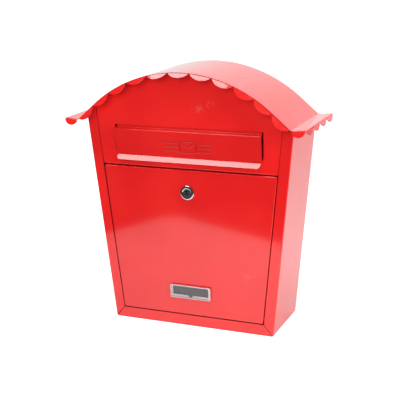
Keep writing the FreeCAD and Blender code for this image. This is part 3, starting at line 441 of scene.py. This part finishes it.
def panel_seam_shadow(nodes, place):
    """1 in a strip beside the seams where the side returns cover the front panel's edges, where
    their shadow is painted.
    """
    look = settings_of("enamel")
    x, _, z = nodes.parts(place)
    line = look.seam_reach - (look.seam_top - z) * look.seam_lean
    inwards = line - abs(x)
    return inwards.smooth(look.seam_width, look.seam_width * SEAM_CORE)


def roof_rim_shade(nodes, place):
    """1 on the bend between the roof's top and its front scallops, where shade is painted."""
    look = settings_of("enamel")
    body_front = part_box("body_wrap")[0].y
    _, y, _ = nodes.parts(place)
    ahead = body_front - y
    start = ahead.smooth(look.rim_start - RIM_SOFTNESS, look.rim_start + RIM_SOFTNESS)
    return start * ahead.smooth(look.rim_end + RIM_SOFTNESS, look.rim_end - RIM_SOFTNESS)


def scuffs(nodes, place):
    """Where the gloss is rubbed: patches that fade from their middles, broken up by noise."""
    worn = 0.0
    for middle, reach, strength in SCUFFS:
        settings = {"operation": "DISTANCE"}
        far = nodes.add("ShaderNodeVectorMath", settings, place, middle, out="Value")
        worn = worn + far.smooth(reach, reach * SCUFF_CORE) * strength
    streaks = nodes.noise(place, STREAK_WIDTH, detail=4.0).smooth(*STREAK_FADE)
    return (worn * streaks).clamp()


def plated(name, tint, roughness):
    """Plated metal with faint marks in its gloss."""
    look = settings_of("metal")
    material, nodes = new_material(name)
    place = nodes.place()
    marks = nodes.noise(place, look.grain, detail=3.0)
    shade = nodes.mix(marks, [value * MARK_SHADE for value in tint], tint)
    nodes.finish(
        Base_Color=shade,
        Metallic=1.0,
        Roughness=roughness + (marks - NOISE_MIDDLE) * (roughness * MARK_BLUR),
    )
    return material


def blank_card():
    """Matt grey card with fine fibres."""
    look = settings_of("plate")
    material, nodes = new_material("blank_card")
    place = nodes.place()
    fibre = nodes.noise(place, look.fibre, detail=3.0)
    dark = [value * FIBRE_DARK for value in look.card]
    pale = [value * FIBRE_PALE for value in look.card]
    shade = nodes.mix(fibre, dark, pale)
    nodes.finish(
        Base_Color=shade,
        Roughness=CARD_ROUGHNESS,
        Normal=nodes.bump(fibre, FIBRE_HEIGHT),
    )
    return material


def clear_film():
    """Clear plastic cover of the card."""
    look = settings_of("plate")
    material, nodes = new_material("clear_film")
    place = nodes.place()
    wipe = nodes.noise(place, WIPE_WIDTH, detail=3.0)
    nodes.finish(
        Base_Color=look.film,
        Roughness=wipe * FILM_BLUR,
        IOR=FILM_IOR,
        Transmission_Weight=1.0,
    )
    return material


def faces_of_grid(rows, columns, closed):
    """Quads of a grid of points, as an array of corner numbers, row by row.

    In a closed grid the last row is joined to the first.
    """
    row = np.arange(rows if closed else rows - 1)
    row, column = np.meshgrid(row, np.arange(columns - 1), indexing="ij")
    next_row = (row + 1) % rows
    next_column = column + 1
    corners = [
        row * columns + column,
        row * columns + next_column,
        next_row * columns + next_column,
        next_row * columns + column,
    ]
    return np.stack(corners, axis=-1).reshape(-1, 4)


def mesh_object(name, points, faces, material):
    """Smooth object from an array of points and an array of quads."""
    mesh = bpy.data.meshes.new(name)
    mesh.from_pydata(points.tolist(), [], faces.tolist())
    mesh.update()
    mesh.polygons.foreach_set("use_smooth", np.full(len(mesh.polygons), True))
    mesh.materials.append(material)
    made = bpy.data.objects.new(name, mesh)
    bpy.context.scene.collection.objects.link(made)
    return made


def front_of(name, x, z):
    """How far forward a CAD node reaches at x and z: its lowest y on the line there."""
    node = frame["nodes"][name]
    hit, spot, _, _ = node.ray_cast(Vector((x, -PROBE_REACH, z)), Vector((0.0, 1.0, 0.0)))
    if not hit:
        raise RuntimeError("nothing of " + name + " at that place")
    return spot.y


def rounded_loop(width, height, radius, steps):
    """Closed path round a rectangle whose corners are quarter circles, as x and z."""
    turn = np.linspace(0.0, math.pi / 2, steps)
    path = []
    for quarter, (sx, sz) in enumerate(((1, 1), (-1, 1), (-1, -1), (1, -1))):
        angle = turn + quarter * math.pi / 2
        x = sx * (width / 2 - radius) + radius * np.cos(angle)
        z = sz * (height / 2 - radius) + radius * np.sin(angle)
        path.append(np.stack([x, z], axis=-1))
    return np.concatenate(path)


def bead(path, half_width, height, closed):
    """Pressed bead along a flat path.

    At each point of the path the profile is a raised cosine: across = half_width u,
    out = height (1 + cos(pi u)) / 2, with u from 1 to -1. `across` is square to the path's
    run there. An open path's ends shrink to nothing along a quarter circle.
    """
    ahead = np.roll(path, -1, axis=0) - path
    behind = path - np.roll(path, 1, axis=0)
    if not closed:
        ahead[-1] = behind[-1]
        behind[0] = ahead[0]
    ahead /= np.linalg.norm(ahead, axis=1)[:, None]
    behind /= np.linalg.norm(behind, axis=1)[:, None]
    run = ahead + behind
    run /= np.linalg.norm(run, axis=1)[:, None]
    side = np.stack([-run[:, 1], run[:, 0]], axis=-1)
    stretch = 1.0 / np.maximum(np.sum(run * ahead, axis=1), LEAST_COSINE)
    scale = np.ones(len(path))
    if not closed:
        length = np.concatenate([[0.0], np.cumsum(np.linalg.norm(np.diff(path, axis=0), axis=1))])
        near_end = np.minimum(length, length[-1] - length) / half_width
        scale = np.sqrt(1.0 - np.clip(1.0 - near_end, 0.0, 1.0) ** 2)
    u = np.linspace(1.0, -1.0, BEAD_STEPS)
    across = half_width * u[None, :] * (scale * stretch)[:, None]
    out = height * (1.0 + np.cos(math.pi * u))[None, :] / 2 * scale[:, None]
    x = path[:, 0][:, None] + side[:, 0][:, None] * across
    z = path[:, 1][:, None] + side[:, 1][:, None] * across
    return np.stack([x, -out, z], axis=-1)


def straight(start, end, steps):
    """Evenly spaced points from start to end."""
    part = np.linspace(0.0, 1.0, steps)[:, None]
    return np.asarray(start)[None, :] * (1 - part) + np.asarray(end)[None, :] * part


def pressed_envelope(material):
    """Emblem pressed out of the flap: an envelope's rim and fold, between two stacks of bars."""
    look = settings_of("emblem")
    low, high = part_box("letter_flap")
    middle_x = (low.x + high.x) / 2 + look.centre_x
    middle_z = high.z - look.drop
    half = look.bead_width / 2
    top = look.height / 2
    tip = top - look.height * look.fold
    reach = look.width / 2 - half / 2
    left = straight((-reach, top - half), (0.0, tip), FOLD_STEPS)
    right = straight((0.0, tip), (reach, top - half), FOLD_STEPS)
    shapes = [
        (rounded_loop(look.width, look.height, look.corner, CORNER_STEPS), True),
        (np.concatenate([left, right[1:]]), False),
    ]
    near = look.width / 2 + look.bar_gap
    for row in (-1, 0, 1):
        level = row * look.bar_pitch
        for start in (near, -near - look.bar):
            shapes.append((straight((start, level), (start + look.bar, level), BAR_STEPS), False))
    points = []
    faces = []
    count = 0
    for path, closed in shapes:
        grid = bead(path, half, look.bead_height, closed)
        rows, columns = grid.shape[:2]
        points.append(grid.reshape(-1, 3) + np.array([middle_x, 0.0, middle_z]))
        faces.append(faces_of_grid(rows, columns, closed) + count)
        count += rows * columns
    points = np.concatenate(points)
    points[:, 1] += face_of_flap(middle_x, middle_z, points[:, 2])
    made = mesh_object("pressed_envelope", points, np.concatenate(faces), material)
    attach(made, "flap")


def face_of_flap(x, z, heights):
    """How far forward the flap's leaning face is at each height: a line through two spots."""
    step = 5 * MM
    low = front_of("letter_flap", x, z - step)
    high = front_of("letter_flap", x, z + step)
    return low + (high - low) * (heights - z + step) / (2 * step)


def camera_axes():
    """The camera's right, up and backward directions, from its turn, tilt and roll."""
    turn = math.radians(CAMERA_TURN)
    tilt = math.radians(CAMERA_TILT)
    roll = math.radians(CAMERA_ROLL)
    level_part = math.cos(tilt)
    ahead = Vector((-math.sin(turn) * level_part, math.cos(turn) * level_part, -math.sin(tilt)))
    level = Vector((math.cos(turn), math.sin(turn), 0.0))
    upright = level.cross(ahead)
    right = level * math.cos(roll) + upright * math.sin(roll)
    up = upright * math.cos(roll) - level * math.sin(roll)
    return right, up, -ahead


def add_camera():
    right, up, back = camera_axes()
    data = bpy.data.cameras.new("camera")
    data.sensor_width = SENSOR_WIDTH
    data.lens = CAMERA_LENS
    made = bpy.data.objects.new("camera", data)
    bpy.context.scene.collection.objects.link(made)
    turn = Matrix((right, up, back)).transposed().to_4x4()
    made.matrix_world = Matrix.Translation(CAMERA_PLACE) @ turn
    bpy.context.scene.camera = made


def table_and_backdrop():
    """White table that sweeps up behind into a backdrop, square to the camera.

    Across and along are the grid's two parameters. Along runs over the flat table, a
    quarter circle and the upright backdrop. Near the front edge the width falls off as
    a quarter circle, which rounds the two front corners. Before the box the table drops by
    step (3 u^2 - 2 u^3), with u from 0 to 1 over the step's run.
    """
    look = settings_of("stage")
    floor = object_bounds()[0].z
    edge = 1.0 - np.cos(np.linspace(0.0, math.pi / 2, EDGE_STEPS))
    rounded = -look.front + look.corner * edge
    top = np.linspace(-look.front + 2 * look.corner, look.back, TABLE_STEPS)
    flat = np.concatenate([rounded, top])
    cut = look.corner - (flat + look.front)
    narrowing = look.corner - np.sqrt(look.corner**2 - np.clip(cut, 0.0, look.corner) ** 2)
    bend = np.linspace(0.0, math.pi / 2, COVE_STEPS)[1:]
    along = np.concatenate([flat, look.back + look.cove * np.sin(bend), [look.back + look.cove]])
    height = np.concatenate([np.zeros_like(flat), look.cove * (1.0 - np.cos(bend)), [look.rise]])
    narrowing = np.concatenate([narrowing, np.zeros(len(along) - len(flat))])
    across = np.linspace(0.0, 1.0, ACROSS_STEPS)
    start = -look.left + narrowing
    end = look.right - narrowing
    s = start[:, None] * (1 - across) + end[:, None] * across
    t = along[:, None] + 0 * across
    turn = math.radians(CAMERA_TURN)
    x = s * math.cos(turn) - t * math.sin(turn)
    y = s * math.sin(turn) + t * math.cos(turn)
    u = np.clip((-look.step_start - y) / look.step_run, 0.0, 1.0)
    z = floor + height[:, None] - look.step * (3 * u**2 - 2 * u**3)
    grid = np.stack([x, y, z], axis=-1)
    faces = faces_of_grid(*grid.shape[:2], False)
    made = mesh_object("table_and_backdrop", grid.reshape(-1, 3), faces, table_finish())
    made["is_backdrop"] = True


def table_finish():
    """White paper: shadows stay, and what the camera, gloss and glass see of it is lifted to white.

    The part before the object, whose reflection the door shows, isn't lifted for gloss, and its
    left is darker with painted shade for all but the camera. A camera behind the backdrop looks
    through it.
    """
    look = settings_of("stage")
    material, nodes = new_material("white_paper")
    x, y, z = nodes.parts(nodes.place())
    behind = (x + y).smooth(*BEHIND_FADE)
    camera, mirrored = seen_by(nodes)
    # Painted shade: darker towards the left for all but the camera
    even = (x.smooth(*DIM_FADE) + camera).clamp()
    dim = [value * look.painted_shade_left for value in look.floor_colour]
    shade = nodes.mix(even, dim, look.floor_colour)
    paper = nodes.add("ShaderNodeBsdfDiffuse", {}, Color=shade)
    glow = look.table_glow + z.smooth(*GLOW_FADE) * (look.glow - look.table_glow)
    strength = camera * look.lift + mirrored * behind * glow
    lit = nodes.add("ShaderNodeEmission", {}, Color=WHITE, Strength=strength)
    both = nodes.add("ShaderNodeAddShader", {}, paper, lit)
    from_behind = camera * nodes.add("ShaderNodeNewGeometry", {}, out="Backfacing")
    clear = nodes.add("ShaderNodeBsdfTransparent", {})
    shown = nodes.add("ShaderNodeMixShader", {}, from_behind, both, clear)
    nodes.add("ShaderNodeOutputMaterial", {}, Surface=shown)
    return material


def seen_by(nodes):
    """Whether the camera looks straight at a surface, and whether gloss or glass shows it."""
    camera = nodes.add("ShaderNodeLightPath", {}, out="Is Camera Ray")
    gloss = nodes.add("ShaderNodeLightPath", {}, out="Is Glossy Ray")
    glass = nodes.add("ShaderNodeLightPath", {}, out="Is Transmission Ray")
    return camera, (gloss + glass).clamp()


def room_light():
    """The room: bright above, behind and on the right, dim elsewhere, white to the camera."""
    look = settings_of("stage")
    world = bpy.data.worlds.new("room")
    bpy.context.scene.world = world
    world.use_nodes = True
    nodes = Nodes(world.node_tree)
    direction = nodes.add("ShaderNodeTexCoord", {}, out="Generated")
    across, back, up = nodes.parts(direction)
    side = up * BRIGHT_SIDE[2] + back * BRIGHT_SIDE[1] + across * BRIGHT_SIDE[0]
    bright = side.smooth(*BRIGHT_FADE)
    camera, mirrored = seen_by(nodes)
    dim = look.room * (1 - mirrored * ROOM_LOSS)
    strength = dim + bright * (look.sky - look.room) * (1 - mirrored)
    strength = strength * (1 - camera) + camera
    light = nodes.add("ShaderNodeBackground", {}, Color=WHITE, Strength=strength)
    nodes.add("ShaderNodeOutputWorld", {}, Surface=light)


def softbox(name, place, facing, width, depth, power, in_gloss):
    """Rectangular lamp at a place; it shines down its own z axis."""
    data = bpy.data.lights.new(name, "AREA")
    data.shape = "RECTANGLE"
    data.size = width
    data.size_y = depth
    data.energy = power
    made = bpy.data.objects.new(name, data)
    bpy.context.scene.collection.objects.link(made)
    made.matrix_world = Matrix.Translation(place) @ facing.to_4x4()
    made.visible_glossy = in_gloss


def towards(start, end):
    """Turn that points a lamp from start to end, upright."""
    return (Vector(end) - Vector(start)).to_track_quat("-Z", "Y").to_matrix()


class POSTBOX_OT_enamel(Operator):
    """Give the sheet metal its red enamel"""

    bl_idname = "postbox.enamel"
    bl_label = "Enamel the sheet metal"

    def execute(self, context):
        dress(nodes_in_slot("red_paint"), enamel("red_enamel", 1.0))
        look = settings_of("enamel")
        # Painted light and shade: the flap, door and wrap get darker copies of the one enamel and
        # the front panel a lighter one
        dress(["letter_flap"], enamel("red_enamel_flap", look.flap_painted_shade))
        dress(["door"], enamel("red_enamel_door", look.door_painted_shade))
        dress(["body_wrap"], enamel("red_enamel_wrap", look.wrap_painted_shade, look.wrap_gloss))
        # The front panel's strips beside its seams get painted shadow, where the side returns shade
        # them
        panel = enamel("red_enamel_front", look.front_painted_light, seam=panel_seam_shadow, shade_colour=look.seam)
        dress(["front_panel"], panel)
        # The roof's bend gets painted shade
        dress(["roof"], enamel("red_enamel_roof", 1.0, seam=roof_rim_shade, shade_colour=look.rim))
        return {"FINISHED"}


class POSTBOX_OT_fixings(Operator):
    """Give the lock's fixings their zinc plate, and the flap's hinge rod and clips dull steel, near
    black as painted shade in the flap's side gaps
    """

    bl_idname = "postbox.fixings"
    bl_label = "Plate the fixings"

    def execute(self, context):
        look = settings_of("metal")
        dress(nodes_in_slot("zinc"), plated("zinc_plate", look.zinc, look.zinc_roughness))
        # Painted shade: the rod and clips are dark so the flap's side gaps read as shade
        hinge = ["flap_hinge_rod", "rod_clip_left", "rod_clip_right"]
        dress(hinge, plated("dull_steel_painted_shade", look.dull, look.dull_roughness))
        return {"FINISHED"}


class POSTBOX_OT_lock(Operator):
    """Give the lock and the name plate their polished plate"""

    bl_idname = "postbox.lock"
    bl_label = "Plate the lock and the name plate"

    def execute(self, context):
        look = settings_of("metal")
        dress(nodes_in_slot("chrome"), plated("chrome_plate", look.chrome, look.chrome_roughness))
        dress(["nameplate_frame"], plated("satin_plate", look.plate, look.plate_roughness))
        dress(nodes_in_slot("lock_plug"), plated("nickel_plug", look.nickel, look.nickel_roughness))
        return {"FINISHED"}


class POSTBOX_OT_card(Operator):
    """Give the name plate its blank card and clear film"""

    bl_idname = "postbox.card"
    bl_label = "Fill the name plate"

    def execute(self, context):
        dress(nodes_in_slot("card"), blank_card())
        dress(nodes_in_slot("window"), clear_film())
        return {"FINISHED"}


class POSTBOX_OT_emblem(Operator):
    """Press an envelope into the letter flap"""

    bl_idname = "postbox.emblem"
    bl_label = "Press the emblem"

    def execute(self, context):
        look = settings_of("enamel")
        # The emblem's enamel is darkened: painted shade along its pressed lines
        pressed_envelope(enamel("red_enamel_emblem", look.emblem_painted_shade, look.emblem_gloss))
        return {"FINISHED"}


class POSTBOX_OT_stage(Operator):
    """Set up the table, the lights and the camera"""

    bl_idname = "postbox.stage"
    bl_label = "Set the stage"

    def execute(self, context):
        look = settings_of("stage")
        table_and_backdrop()
        room_light()
        softbox("softbox_overhead", OVERHEAD_PLACE, Matrix.Identity(3),
                look.softbox_width, look.softbox_depth, look.softbox, True)
        softbox("softbox_front", FRONT_PLACE, towards(FRONT_PLACE, LAMP_AIM),
                look.fill_width, look.fill_depth, look.fill, False)
        softbox("softbox_right", RIGHT_PLACE, towards(RIGHT_PLACE, LAMP_AIM),
                look.wing_width, look.wing_width, look.wing, False)
        add_camera()
        context.scene.view_settings.view_transform = "Standard"
        return {"FINISHED"}


STEPS = [
    POSTBOX_OT_enamel,
    POSTBOX_OT_fixings,
    POSTBOX_OT_lock,
    POSTBOX_OT_card,
    POSTBOX_OT_emblem,
    POSTBOX_OT_stage,
]


class POSTBOX_PT_panel(Panel):
    """Lists the steps that dress the post box"""

    bl_idname = "POSTBOX_PT_panel"
    bl_label = "Post Box"
    bl_space_type = "VIEW_3D"
    bl_region_type = "UI"
    bl_category = "Post Box"

    def draw(self, context):
        for step in STEPS:
            self.layout.operator(step.bl_idname)


GROUPS = {
    "enamel": EnamelSettings,
    "metal": MetalSettings,
    "plate": PlateSettings,
    "emblem": EmblemSettings,
    "stage": StageSettings,
}


def register():
    for group in GROUPS.values():
        bpy.utils.register_class(group)
    for name, group in GROUPS.items():
        setattr(bpy.types.Scene, "post_box_" + name, PointerProperty(type=group))
    for step in STEPS:
        bpy.utils.register_class(step)
    bpy.utils.register_class(POSTBOX_PT_panel)


def unregister():
    bpy.utils.unregister_class(POSTBOX_PT_panel)
    for step in reversed(STEPS):
        bpy.utils.unregister_class(step)
    for name, group in GROUPS.items():
        delattr(bpy.types.Scene, "post_box_" + name)
        bpy.utils.unregister_class(group)


def main():
    register()
    bpy.ops.postbox.enamel()
    bpy.ops.postbox.fixings()
    bpy.ops.postbox.lock()
    bpy.ops.postbox.card()
    bpy.ops.postbox.emblem()
    bpy.ops.postbox.stage()


if __name__ == "__main__":
    main()
